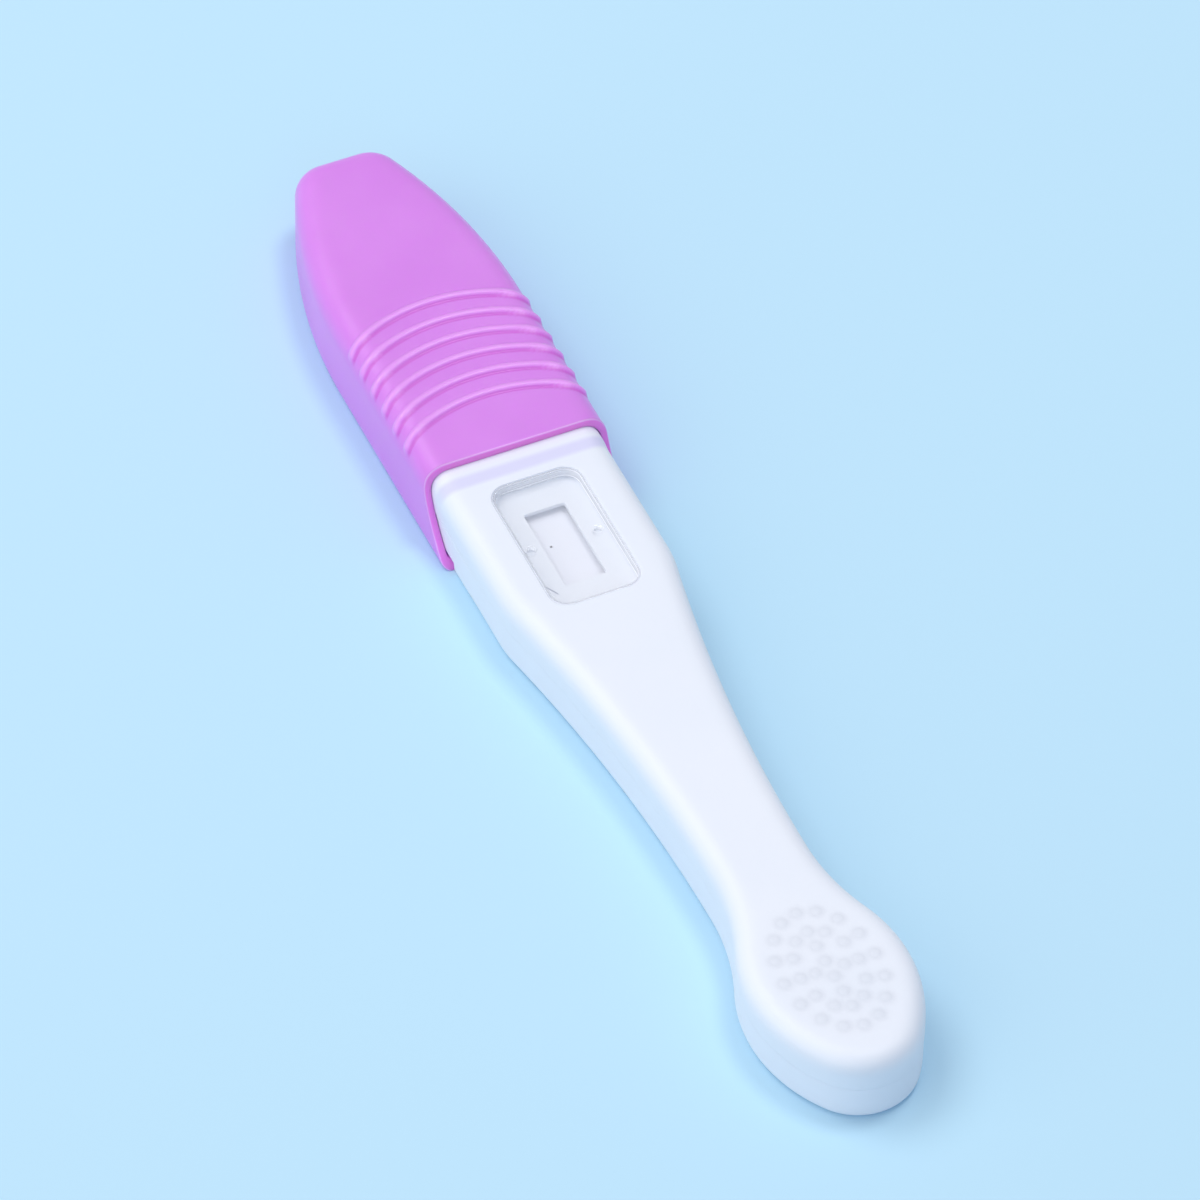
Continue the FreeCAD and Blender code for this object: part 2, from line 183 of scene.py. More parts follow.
# Nose that holds the wick
nose_length = 12.0
nose_root_half_width = 7.6
nose_tip_half_width = 6.2
nose_height = 6.0
nose_edge_radius = 1.0
nose_tip_round = ((0.0, 0.35), (0.1, 0.1), (0.35, 0.0))
nose_roof_gap = 0.6
nose_root_overlap = 1.0
channel_clearance = 0.1

# Derived places
mouth_x = cap_high.x - lip_reach
closed_end_x = cap_low.x - mouth_x
recess_end_x = recess_start_x + recess_length
window_end_x = window_start_x + window_length
recess_floor_z = handle_height - recess_depth
recess_under_z = recess_floor_z - recess_floor
ceiling_z = handle_height - shell_wall
paddle_tip_reach = paddle_half_length - paddle_tip_radius
paddle_side_radius = (paddle_half_width ** 2 + paddle_tip_reach ** 2 - paddle_tip_radius ** 2) / (
    2.0 * (paddle_half_width - paddle_tip_radius))
flare_rise = waist_half_width - paddle_half_width + paddle_side_radius
flare_radius = ((paddle_center_x - waist_x) ** 2 + flare_rise ** 2 - paddle_side_radius ** 2) / (
    2.0 * (paddle_side_radius - flare_rise))

# How finely the shapes are drawn
collar_rows_behind = (-3.8, -2.0, 0.0, 1.0)
collar_rows_ahead = (10.0, 13.0, 16.0)
recess_row_x = 5.2
step_row = 0.2
shoulder_steps = 12
taper_steps = 44
flare_steps = 20
paddle_side_steps = 36
paddle_tip_steps = 24
soft_edge_steps = 14
mouth_rows = 10
sweep_steps = 44
cap_wall_rows = 9
upper_wall_rows = (6.0, 5.6, 5.2)
lower_wall_rows = (4.2, 3.5, 2.8, 2.1, 1.6)
rows_across = 48
fine_row = 0.1
plain_row = 0.75
cap_corner_steps = 16


def aim_camera():
    """The photograph's view: from the paddle's right-hand side, 47 degrees up, nearly a telephoto."""
    elevation = math.radians(47.0)
    azimuth = math.radians(65.7)
    roll = math.radians(0.3)
    target = Vector((mouth_x + 21.3, 1.0, 5.0)) * MM
    distance = 0.9
    forward = Vector((-math.sin(azimuth) * math.cos(elevation),
                      math.cos(azimuth) * math.cos(elevation),
                      -math.sin(elevation)))
    data = bpy.data.cameras.new("camera")
    data.lens = 243.0
    data.sensor_width = 36.0
    data.clip_start = 0.01
    data.clip_end = 20.0
    camera = bpy.data.objects.new("camera", data)
    camera.location = target - forward * distance
    turn = forward.to_track_quat("-Z", "Y").to_matrix().to_4x4()
    camera.rotation_euler = turn.to_euler()
    camera.rotation_euler.rotate_axis("Z", roll)
    bpy.context.scene.collection.objects.link(camera)
    bpy.context.scene.camera = camera


def place(point):
    """From millimetres off the mouth to metres in the frame."""
    return ((point[0] + mouth_x) * MM, point[1] * MM, point[2] * MM)


def strip(mesh, rows, closed=False):
    """Quads between rows of points that all have the same length."""
    lines = [[mesh.verts.new(point) for point in row] for row in rows]
    for low, high in zip(lines, lines[1:]):
        count = len(low)
        for i in range(count if closed else count - 1):
            j = (i + 1) % count
            mesh.faces.new((low[i], low[j], high[j], high[i]))


def face(mesh, points):
    mesh.faces.new([mesh.verts.new(point) for point in points])


def plate(mesh, loops):
    """Flat face inside the first loop, round the others, which are holes."""
    edges = []
    for loop in loops:
        verts = [mesh.verts.new(point) for point in loop]
        for i in range(len(verts)):
            edges.append(mesh.edges.new((verts[i - 1], verts[i])))
    bmesh.ops.triangle_fill(mesh, edges=edges, use_beauty=True, use_dissolve=False)


def finished(name, mesh, sharp_angle=38.0):
    """Merge the parts of one moulding, point its faces outwards and make its object."""
    bmesh.ops.remove_doubles(mesh, verts=mesh.verts, dist=1e-4)
    bmesh.ops.dissolve_degenerate(mesh, edges=mesh.edges, dist=1e-5)
    bmesh.ops.recalc_face_normals(mesh, faces=mesh.faces)
    for vert in mesh.verts:
        vert.co = place(vert.co)
    data = bpy.data.meshes.new(name)
    mesh.to_mesh(data)
    mesh.free()
    data.shade_smooth()
    data.set_sharp_from_angle(angle=math.radians(sharp_angle))
    piece = bpy.data.objects.new(name, data)
    bpy.context.scene.collection.objects.link(piece)
    return piece


def rounded_loop(x_low, x_high, half_width, radius, z, corner_steps=12):
    """Level rectangle with round corners, as one loop of points."""
    points = []
    corners = ((x_high - radius, half_width - radius, 0.0), (x_low + radius, half_width - radius, 90.0),
               (x_low + radius, radius - half_width, 180.0), (x_high - radius, radius - half_width, 270.0))
    for x, y, start in corners:
        for step in range(corner_steps + 1):
            angle = math.radians(start + 90.0 * step / corner_steps)
            points.append((x + radius * math.cos(angle), y + radius * math.sin(angle), z))
    return points


def round_loop(x, y, radius, z, steps=24):
    turns = [2.0 * math.pi * step / steps for step in range(steps)]
    return [(x + radius * math.cos(turn), y + radius * math.sin(turn), z) for turn in turns]


def arc_samples(center, radius, start, end, steps, bulge):
    """Points and outward normals on an arc; bulge is 1 for a convex side and -1 for a hollow one."""
    samples = []
    for step in range(1, steps + 1):
        angle = start + (end - start) * step / steps
        radial = Vector((math.cos(angle), math.sin(angle)))
        samples.append((Vector(center) + radial * radius, radial * bulge))
    return samples


def angle_of(center, point):
    return math.atan2(point[1] - center[1], point[0] - center[0])


def handle_side():
    """Right-hand side of the handle's plan, from the rear to the tip, with outward normals."""
    round_y = collar_half_width - shoulder_radius
    taper_center = (waist_x, waist_half_width + taper_radius)
    reach = math.sqrt((taper_radius + shoulder_radius) ** 2 - (taper_center[1] - round_y) ** 2)
    round_center = (waist_x - reach, round_y)
    flare_center = (waist_x, waist_half_width + flare_radius)
    side_center = (paddle_center_x, paddle_half_width - paddle_side_radius)
    tip_center = (paddle_center_x + paddle_tip_reach, 0.0)
    up = math.pi / 2.0
    lean = angle_of(round_center, taper_center)
    flare_lean = angle_of(side_center, flare_center)
    tip_lean = angle_of(side_center, tip_center)
    collar_xs = [rear_x, *collar_rows_behind]
    collar_xs += [bead_end_x + bead_slope_length * step / 8 for step in range(9)]
    collar_xs += [recess_start_x - recess_apron, recess_row_x]
    for step_x in (lip_step_x, lip_step_x + shell_wall):
        collar_xs += [step_x - step_row, step_x]
    collar_xs += [*collar_rows_ahead, round_center[0]]
    samples = [(Vector((x, collar_half_width)), Vector((0.0, 1.0))) for x in collar_xs]
    samples += arc_samples(round_center, shoulder_radius, up, lean, shoulder_steps, 1.0)
    samples += arc_samples(taper_center, taper_radius, lean - math.pi, -up, taper_steps, -1.0)
    samples += arc_samples(flare_center, flare_radius, -up, flare_lean - math.pi, flare_steps, -1.0)
    samples += arc_samples(side_center, paddle_side_radius, flare_lean, tip_lean,
                           paddle_side_steps, 1.0)
    samples += arc_samples(tip_center, paddle_tip_radius, tip_lean, 0.0, paddle_tip_steps, 1.0)
    return samples


def offset_side(samples, inset):
    return [point - normal * inset for point, normal in samples]


def both_sides(side, z):
    """Loop open at the rear: along the right-hand side to the tip and back along the other."""
    right = [(point.x, point.y, z) for point in side]
    left = [(point.x, -point.y, z) for point in reversed(side[:-1])]
    return right + left


def edge_round(radius, z_end, up, steps=8, roundness=2.0):
    """Quarter round from a level face at z_end to the side, as (inset, z).

    A roundness above 2 starts the curve more gently than an arc does.
    """
    points = []
    for step in range(steps + 1):
        angle = math.radians(90.0 * step / steps)
        across = radius * (1.0 - math.sin(angle) ** (2.0 / roundness))
        down = radius * (1.0 - max(math.cos(angle), 0.0) ** (2.0 / roundness))
        points.append((across, z_end - up * down))
    return points


def ease(value):
    value = min(max(value, 0.0), 1.0)
    return value * value * (3.0 - 2.0 * value)


def level_rows(side, z, across=24):
    """Rows of points from one side of a flat face to the other."""
    rows = []
    for point in side:
        rows.append([(point.x, point.y * (1.0 - 2.0 * step / across), z) for step in range(across + 1)])
    return rows


def lifted(x, y, z):
    """Raise the collar's top into the bead that the cap stops at."""
    if z <= parting_z:
        return (x, y, z)
    rise = ease((bead_end_x + bead_slope_length - x) / bead_slope_length)
    share = (z - parting_z) / (handle_height - parting_z)
    wider = 1.0 + rise * bead_side / collar_half_width
    return (x, y * wider, z + rise * bead_height * share)


def open_tree(name, inputs):
    """Node tree with a geometry input and output, and its own inputs, given as name and value."""
    tree = bpy.data.node_groups.new(name, "GeometryNodeTree")
    kinds = {int: "NodeSocketInt", float: "NodeSocketFloat", tuple: "NodeSocketVector"}
    tree.interface.new_socket("Geometry", in_out="INPUT", socket_type="NodeSocketGeometry")
    for label, value in inputs:
        socket = tree.interface.new_socket(label, in_out="INPUT", socket_type=kinds[type(value)])
        socket.default_value = value
    tree.interface.new_socket("Geometry", in_out="OUTPUT", socket_type="NodeSocketGeometry")
    return tree, add_node(tree, "NodeGroupInput").outputs


def close_tree(tree, body, finish):
    """End a node tree with real geometry in one material."""
    real = add_node(tree, "GeometryNodeRealizeInstances", body)
    painted = add_node(tree, "GeometryNodeSetMaterial", real.outputs["Geometry"], Material=finish)
    add_node(tree, "NodeGroupOutput", painted.outputs["Geometry"])
    return tree


def pimple_tree():
    """Node tree that sets domed pimples on two oval rings and two short lines inside them."""
    tree, given = open_tree("grip_pimples", (
        ("Outer Count", grip_counts[0]),
        ("Inner Count", grip_counts[1]),
        ("Outer Half Size", (grip_half_lengths[0], grip_half_widths[0], 1.0)),
        ("Inner Half Size", (grip_half_lengths[1], grip_half_widths[1], 1.0)),
        ("Dome Size", (pimple_radius, pimple_radius, pimple_height)),
        ("Centre", (grip_center_x, 0.0, handle_height - pimple_sink)),
    ))
    joined = add_node(tree, "GeometryNodeJoinGeometry")
    for count, size in (("Outer Count", "Outer Half Size"), ("Inner Count", "Inner Half Size")):
        circle = add_node(tree, "GeometryNodeMeshCircle", given[count], Radius=1.0)
        ring = add_node(tree, "GeometryNodeTransform", circle.outputs["Mesh"], Scale=given[size])
        tree.links.new(ring.outputs["Geometry"], joined.inputs["Geometry"])
    for count, x, y in ((4, grip_line_half_length, 0.0), (2, 0.0, grip_line_half_width)):
        row = add_node(tree, "GeometryNodeMeshLine", mode="END_POINTS", Count=count,
                       Start_Location=(-x, -y, 0.0), Offset=(x, y, 0.0))
        tree.links.new(row.outputs["Mesh"], joined.inputs["Geometry"])
    dome = add_node(tree, "GeometryNodeMeshUVSphere", Segments=20, Rings=12, Radius=1.0)
    flat = add_node(tree, "GeometryNodeTransform", dome.outputs["Mesh"], Scale=given["Dome Size"])
    spread = add_node(tree, "GeometryNodeInstanceOnPoints", joined.outputs["Geometry"],
                      Instance=flat.outputs["Geometry"])
    moved = add_node(tree, "GeometryNodeTransform", spread.outputs["Instances"],
                     Translation=given["Centre"])
    return close_tree(tree, moved.outputs["Geometry"], shell_plastic)


def made_plain(piece):
    """The piece's mesh as its modifiers leave it."""
    bpy.context.view_layer.update()
    shown = piece.evaluated_get(bpy.context.evaluated_depsgraph_get())
    data = bpy.data.meshes.new_from_object(shown)
    piece.modifiers.clear()
    return data


def grip_pimples():
    """Mesh of all the pimples, in millimetres off the mouth."""
    holder = bpy.data.objects.new("pimples", bpy.data.meshes.new("pimples"))
    bpy.context.scene.collection.objects.link(holder)
    holder.modifiers.new("pimples", "NODES").node_group = pimple_tree()
    data = made_plain(holder)
    bpy.data.objects.remove(holder)
    return data


def nose_half(mesh, up):
    """Half of the nose as a channel that is open at the parting plane, drawn as a loft."""
    middle_z = (wick_low.z + wick_high.z) / 2.0
    end_z = middle_z + up * nose_height / 2.0
    roof_z = (wick_high.z + nose_roof_gap) if up > 0.0 else (wick_low.z - channel_clearance)
    rows = []
    for x, half, backs in ((rear_x - nose_length, nose_tip_half_width, nose_tip_round),
                           (rear_x + nose_root_overlap, nose_root_half_width, ((0.0, 0.0),))):
        for back in backs:
            side = half - back[1]
            loop = [(x + back[0], side, parting_z)]
            tall = end_z - up * back[1]
            for inset, z in reversed(edge_round(nose_edge_radius, tall, up, 6)):
                loop.append((x + back[0], side - inset, z))
            for inset, z in edge_round(nose_edge_radius, tall, up, 6):
                loop.append((x + back[0], inset - side, z))
            loop.append((x + back[0], -side, parting_z))
            inner = wick_high.y + channel_clearance
            loop += [(x + back[0], -inner, parting_z), (x + back[0], -inner, roof_z),
                     (x + back[0], inner, roof_z), (x + back[0], inner, parting_z)]
            rows.append(loop)
    strip(mesh, rows, closed=True)
    face(mesh, rows[0])
    face(mesh, rows[-1])


def at_pegs(mesh, profile):
    """Round forms with a closed end at both pegs, from (radius, z) pairs. Returns their first rings."""
    first_rings = []
    for y in (-peg_y, peg_y):
        rings = [round_loop(peg_x, y, radius, z) for radius, z in profile]
        strip(mesh, rings, closed=True)
        face(mesh, rings[-1])
        first_rings.append(rings[0])
    return first_rings


def recessed_top(mesh, flat):
    """Level top with the recess, its window and the peg sockets. Returns the seat's loop inside."""
    hole_x = recess_start_x - recess_apron
    front = [point for point in flat if point.x < hole_x + 1e-4]
    far = [point for point in flat if point.x > recess_end_x + recess_far_apron]
    beside = [point for point in flat if hole_x - 1e-4 < point.x < far[0].x + 1e-4]
    strip(mesh, level_rows(front, handle_height))
    strip(mesh, level_rows(far, handle_height))
    near_row, far_row = [level_rows([point], handle_height)[0] for point in (beside[0], beside[-1])]
    right = [(point.x, point.y, handle_height) for point in beside[1:-1]]
    left = [(point.x, -point.y, handle_height) for point in beside[1:-1]]
    drop = [(flat_border, handle_height)] + edge_round(recess_edge_round, handle_height, 1.0, 5)
    drop += [(0.0, recess_floor_z + crease_border), (0.0, recess_floor_z)]
    recess = [rounded_loop(recess_start_x - inset, recess_end_x + inset, recess_half_width + inset,
                           recess_corner_radius + inset, z) for inset, z in drop]
    plate(mesh, [near_row + left + far_row[::-1] + right[::-1], recess[0]])
    strip(mesh, recess, closed=True)
    ledge_z = recess_under_z + window_rebate_height
    drop = [(window_edge_round + crease_border, recess_floor_z)]
    drop += edge_round(window_edge_round, recess_floor_z, 1.0, 3)
    drop += [(0.0, ledge_z), (window_rebate, ledge_z), (window_rebate, recess_under_z)]
    window = [rounded_loop(window_start_x - inset, window_end_x + inset, window_half_width + inset,
                           window_corner_radius + inset, z, 4) for inset, z in drop]
    strip(mesh, window, closed=True)
    socket_radius = peg_radius + peg_clearance
    socket_z = recess_floor_z - peg_depth - peg_clearance
    sockets = at_pegs(mesh, [(socket_radius, recess_floor_z), (socket_radius, socket_z)])
    plate(mesh, [recess[-1], window[0], *sockets])
    seat = [rounded_loop(recess_start_x - shell_wall, recess_end_x + shell_wall,
                         recess_half_width + shell_wall, recess_corner_radius, z)
            for z in (recess_under_z, ceiling_z)]
    strip(mesh, seat, closed=True)
    plate(mesh, [seat[0], window[-1]])
    return seat[1]


def hollow_side(side, inset):
    """The handle's side drawn inset, stopped a wall short of the rear."""
    return [Vector((max(point.x, rear_x + shell_wall), point.y)) for point in offset_side(side, inset)]


def parting_face(mesh, outer, inner):
    """Level face between the loops of a moulding's skin and its hollow, both open at the rear."""
    strip(mesh, [outer, inner])
    face(mesh, [outer[0], outer[-1], inner[-1], inner[0]])


def rear_edges(section):
    """Both upright edges of the collar's rear end, the right one going down the section."""
    right = [(rear_x, collar_half_width - inset, z) for inset, z in section]
    return right, [(x, -y, z) for x, y, z in reversed(right)]


def upper_shell():
    """Top moulding: bead, soft shoulders, recess with its window, and the hollow below."""
    side = handle_side()
    mesh = bmesh.new()
    section = [(top_edge_radius + flat_border, handle_height)]
    section += edge_round(top_edge_radius, handle_height, 1.0, soft_edge_steps, top_edge_roundness)
    section += [(0.0, z) for z in upper_wall_rows]
    section += edge_round(seam_round, parting_z, -1.0, 4)[::-1]
    strip(mesh, [both_sides(offset_side(side, inset), z) for inset, z in section])
    flat = offset_side(side, section[0][0])
    seat = recessed_top(mesh, flat)
    wall = [both_sides(hollow_side(side, shell_wall), z) for z in (parting_z, ceiling_z)]
    strip(mesh, wall)
    face(mesh, [wall[0][0], wall[0][-1], wall[1][-1], wall[1][0]])
    plate(mesh, [wall[1], seat])
    parting_face(mesh, both_sides(offset_side(side, seam_round), parting_z), wall[0])
    right_edge, left_edge = rear_edges(section)
    face(mesh, right_edge + left_edge + level_rows(flat[:1], handle_height)[0][-2:0:-1])
    bmesh.ops.remove_doubles(mesh, verts=mesh.verts, dist=1e-4)
    for vert in mesh.verts:
        vert.co = lifted(*vert.co)
    nose_half(mesh, 1.0)
    mesh.from_mesh(grip_pimples())
    return finished("upper_shell_moulding", mesh)


def stepped(x, y, z, step_x, top_z, low_z):
    """Raise the floor of the collar's underside, where the cap's lip reaches below it."""
    if x < step_x - 1e-3:
        share = (top_z - z) / (top_z - low_z)
        return (x, y, z + share * lip_step_z)
    return (x, y, z)


def filled_out(x, y, z):
    """Bring the lower moulding's collar out to the upper one's width, inside the cap."""
    share = ease((collar_fill_end_x - x) / collar_fill_fade)
    return (x, y * (1.0 + share * parting_step / (collar_half_width - parting_step)), z)


def lower_shell():
    """Bottom moulding: plain tray with a step where the cap's lip reaches under it."""
    side = handle_side()
    mesh = bmesh.new()
    section = edge_round(seam_round, parting_z, 1.0, 4) + [(0.0, z) for z in lower_wall_rows]
    section += edge_round(bottom_edge_radius, 0.0, -1.0, 8)[::-1]
    section += [(bottom_edge_radius + flat_border, 0.0)]
    section = [(parting_step + inset, z) for inset, z in section]
    strip(mesh, [both_sides(offset_side(side, inset), z) for inset, z in section])
    bottom = offset_side(side, section[-1][0])
    strip(mesh, level_rows(bottom, 0.0))
    right_edge, left_edge = rear_edges(section)
    face(mesh, right_edge + level_rows(bottom[:1], 0.0)[0][1:-1] + left_edge)
    for vert in mesh.verts:
        vert.co = filled_out(*stepped(*vert.co, lip_step_x, parting_z, 0.0))
    hollow = bmesh.new()
    inner = hollow_side(side, shell_wall + parting_step)
    wall = [both_sides(inner, z) for z in (parting_z, shell_wall)]
    strip(hollow, wall)
    strip(hollow, level_rows(inner, shell_wall))
    face(hollow, [wall[0][0], wall[0][-1]] + level_rows(inner[:1], shell_wall)[0][::-1])
    for vert in hollow.verts:
        vert.co = filled_out(*stepped(*vert.co, lip_step_x + shell_wall, parting_z, shell_wall))
    parting_face(hollow, both_sides(offset_side(side, section[0][0]), parting_z), wall[0])
    data = bpy.data.meshes.new("hollow")
    hollow.to_mesh(data)
    hollow.free()
    mesh.from_mesh(data)
    nose_half(mesh, -1.0)
    return finished("lower_shell_moulding", mesh)


def tray_foot(base_z, radius, steps=5):
    """Hollow round from the rim's inner side to the tray's base, with a short level end."""
    points = []
    for step in range(steps + 1):
        angle = math.radians(90.0 * step / steps)
        points.append((radius * (1.0 - math.cos(angle)), base_z + radius * (1.0 - math.sin(angle))))
    return points + [(2.0 * radius, base_z)]


def clear_tray():
    """Clear tray in the recess: base, low rim and two pegs."""
    x_low = recess_start_x + tray_clearance
    x_high = recess_end_x - tray_clearance
    half = recess_half_width - tray_clearance
    corner = recess_corner_radius - tray_clearance
    top_z = handle_height - tray_rim_drop
    base_z = recess_floor_z + tray_base
    low_z = recess_floor_z + tray_lift
    edge = edge_round(tray_edge_round, top_z, 1.0, 3)
    profile = [(0.0, low_z)] + edge[::-1]
    profile += [(tray_rim_width - inset, z) for inset, z in edge]
    profile += [(tray_rim_width + inset, z) for inset, z in tray_foot(base_z, tray_foot_radius)]
    rows = [rounded_loop(x_low + inset, x_high - inset, half - inset, corner - inset, z)
            for inset, z in profile]
    mesh = bmesh.new()
    strip(mesh, rows, closed=True)
    marks = at_pegs(mesh, [(radius, base_z + rise) for radius, rise in peg_mark])
    plate(mesh, [rows[-1], *marks])
    pegs = at_pegs(mesh, [(peg_radius, low_z), (peg_radius, recess_floor_z - peg_depth)])
    plate(mesh, [rows[0], *pegs])
    return finished("clear_window_tray", mesh)


def mouth_edge_x(z):
    """How far the cap's scooped mouth reaches at height z: an arc that sags back from its chord."""
    share = 1.0 - z / cap_height
    chord = lip_reach * share
    sag = 4.0 * lip_sag * share * (1.0 - share)
    return chord - sag * math.hypot(1.0, lip_reach / cap_height)


def cap_side(row_step):
    """Right-hand side of the cap's plan, from the mouth to the end of the closed end's corner."""
    bend_x = -cap_straight_length
    sweep_center = (bend_x, cap_half_width - cap_plan_radius)
    corner_x = closed_end_x + cap_corner_radius
    rise = math.sqrt((cap_plan_radius - cap_corner_radius) ** 2 - (corner_x - bend_x) ** 2)
    corner_center = (corner_x, sweep_center[1] + rise)
    xs = [-mouth_zone * step / mouth_rows for step in range(mouth_rows + 1)]
    count = int((cap_straight_length - mouth_zone) / row_step)
    xs += list(np.linspace(-mouth_zone, bend_x, count + 1))[1:]
    samples = [(Vector((x, cap_half_width)), Vector((0.0, 1.0))) for x in xs]
    up = math.pi / 2.0
    lean = angle_of(sweep_center, corner_center)
    fine_turn = mouth_zone / cap_plan_radius
    samples += arc_samples(sweep_center, cap_plan_radius, up, up + fine_turn, int(mouth_zone / row_step), 1.0)
    samples += arc_samples(sweep_center, cap_plan_radius, up + fine_turn, lean, sweep_steps, 1.0)
    samples += arc_samples(corner_center, cap_corner_radius, lean, math.pi, cap_corner_steps, 1.0)
    return samples


def cap_side_inset(samples, inset):
    """The cap's side drawn inset, with a plain corner where the inset is more than its radius."""
    end_x = closed_end_x + inset
    sweep_radius = cap_plan_radius - inset
    rise = math.sqrt(sweep_radius ** 2 - (end_x + cap_straight_length) ** 2)
    corner_y = cap_half_width - cap_plan_radius + rise
    side = offset_side(samples, inset)
    if inset > cap_corner_radius:
        first = len(side) - cap_corner_steps
        side = [Vector((end_x, corner_y)) if i >= first or point.x < end_x else point
                for i, point in enumerate(side)]
    return side


def cap_layer(samples, inset, z, set_back):
    """One level of the cap's wall: round the sides and the closed end, back to the mouth."""
    points = []
    for point in cap_side_inset(samples, inset):
        x = point.x
        if x > -mouth_zone:
            front = mouth_edge_x(z) - set_back
            x = front + (-mouth_zone - front) * (-point.x / mouth_zone)
        points.append(Vector((x, point.y)))
    right = [(point.x, point.y, z) for point in points]
    end = [(points[-1].x, points[-1].y * (1.0 - 2.0 * step / rows_across), z)
           for step in range(1, rows_across)]
    left = [(point.x, -point.y, z) for point in reversed(points)]
    return points, right + end + left


def cap_section(inset, top, roundness, low, lean):
    """Section inside the cap's skin, from the top's flat to the bottom's, with its two corner radii."""
    section = [(inset + top + flat_border, cap_height - inset)]
    soft = edge_round(top, cap_height - inset, 1.0, soft_edge_steps, roundness)
    section += [(inset + add, z) for add, z in soft]
    first_z = section[-1][1]
    last_z = inset + low
    section += [(inset, first_z + (last_z - first_z) * step / cap_wall_rows)
                for step in range(1, cap_wall_rows)]
    section += [(inset + add, z) for add, z in reversed(edge_round(low, inset, -1.0, 8))]
    section += [(inset + low + flat_border, inset)]
    return [(distance + lean * z / cap_height, z) for distance, z in section]


def cap_skin(mesh, samples, section):
    """One skin of the cap's wall, and the loop of points round its mouth."""
    layers = [cap_layer(samples, distance, z, lip_depth) for distance, z in section]
    strip(mesh, [loop for points, loop in layers])
    for points, loop in (layers[0], layers[-1]):
        z = loop[0][2]
        strip(mesh, level_rows(points, z, rows_across))
    right = [loop[0] for points, loop in layers]
    left = [loop[-1] for points, loop in layers]
    top = level_rows(layers[0][0][:1], section[0][1], rows_across)[0]
    bottom = level_rows(layers[-1][0][:1], section[-1][1], rows_across)[0]
    return right + bottom[1:-1] + left[::-1] + top[::-1][1:-1]


def lip_profile(steps=4):
    """Cut face of the lip, from the outer skin over a round edge to a sharper one at the inner skin."""
    sides = []
    for share in (lip_round_share, lip_inner_share):
        angles = [math.radians(90.0 * step / steps) for step in range(steps + 1)]
        sides.append([(1.0 - share * (1.0 - math.cos(angle)), lip_depth * math.sin(angle))
                      for angle in angles])
    outer, inner = sides
    return outer + [(0.2, lip_depth), (-0.2, lip_depth)] + [(-across, ahead) for across, ahead in inner[::-1]]


def cap_wall_form():
    """The cap as a thin wall with a rounded lip, its outer skin marked for the ribs."""
    mesh = bmesh.new()
    outer = cap_section(0.0, cap_top_radius, cap_top_roundness, cap_bottom_radius, cap_side_lean)
    outer_loop = cap_skin(mesh, cap_side(fine_row), outer)
    outer_count = len(mesh.verts)
    inner = cap_section(cap_wall, cap_inner_radius, cap_inner_roundness, cap_inner_low_radius, 0.0)
    inner_loop = cap_skin(mesh, cap_side(plain_row), inner)
    skin_count = len(mesh.verts)
    rows = []
    for across, ahead in lip_profile():
        row = []
        for outer, inner in zip(outer_loop, inner_loop):
            middle = (Vector(outer) + Vector(inner)) / 2.0
            half = (Vector(outer) - Vector(inner)) / 2.0
            row.append(middle + half * across + Vector((ahead, 0.0, 0.0)))
        rows.append(row)
    strip(mesh, rows, closed=True)
    mark = mesh.verts.layers.float.new("outer_skin")
    # The lip's cut face is marked for painted light, and its edge for a painted highlight
    cut = mesh.verts.layers.float.new("lip_face_painted_light")
    brow = mesh.verts.layers.float.new("lip_edge_painted_highlight")
    row_length = len(outer_loop)
    for index, vert in enumerate(mesh.verts):
        vert[mark] = 1.0 if index < outer_count else 0.0
        lip_row = (index - skin_count) // row_length
        vert[cut] = 1.0 if lip_row >= lip_highlight_rows else 0.0
        vert[brow] = 1.0 if 0 < lip_row < lip_highlight_rows else 0.0
        if index < outer_count and vert.co.z > parting_z:
            share = (vert.co.z - parting_z) / (cap_height - parting_z)
            vert.co.z -= share * cap_crown * (vert.co.y / cap_half_width) ** 2
    return finished("cap_moulding", mesh)


def work_out(tree, known, steps):
    """Add a chain of sums to a tree: for each its name, its operation and its values, which are
    numbers or names of what is known by then."""
    for name, operation, *values in steps:
        step = add_node(tree, "ShaderNodeMath", *[known.get(value, value) for value in values],
                        operation=operation)
        known[name] = step.outputs[0]


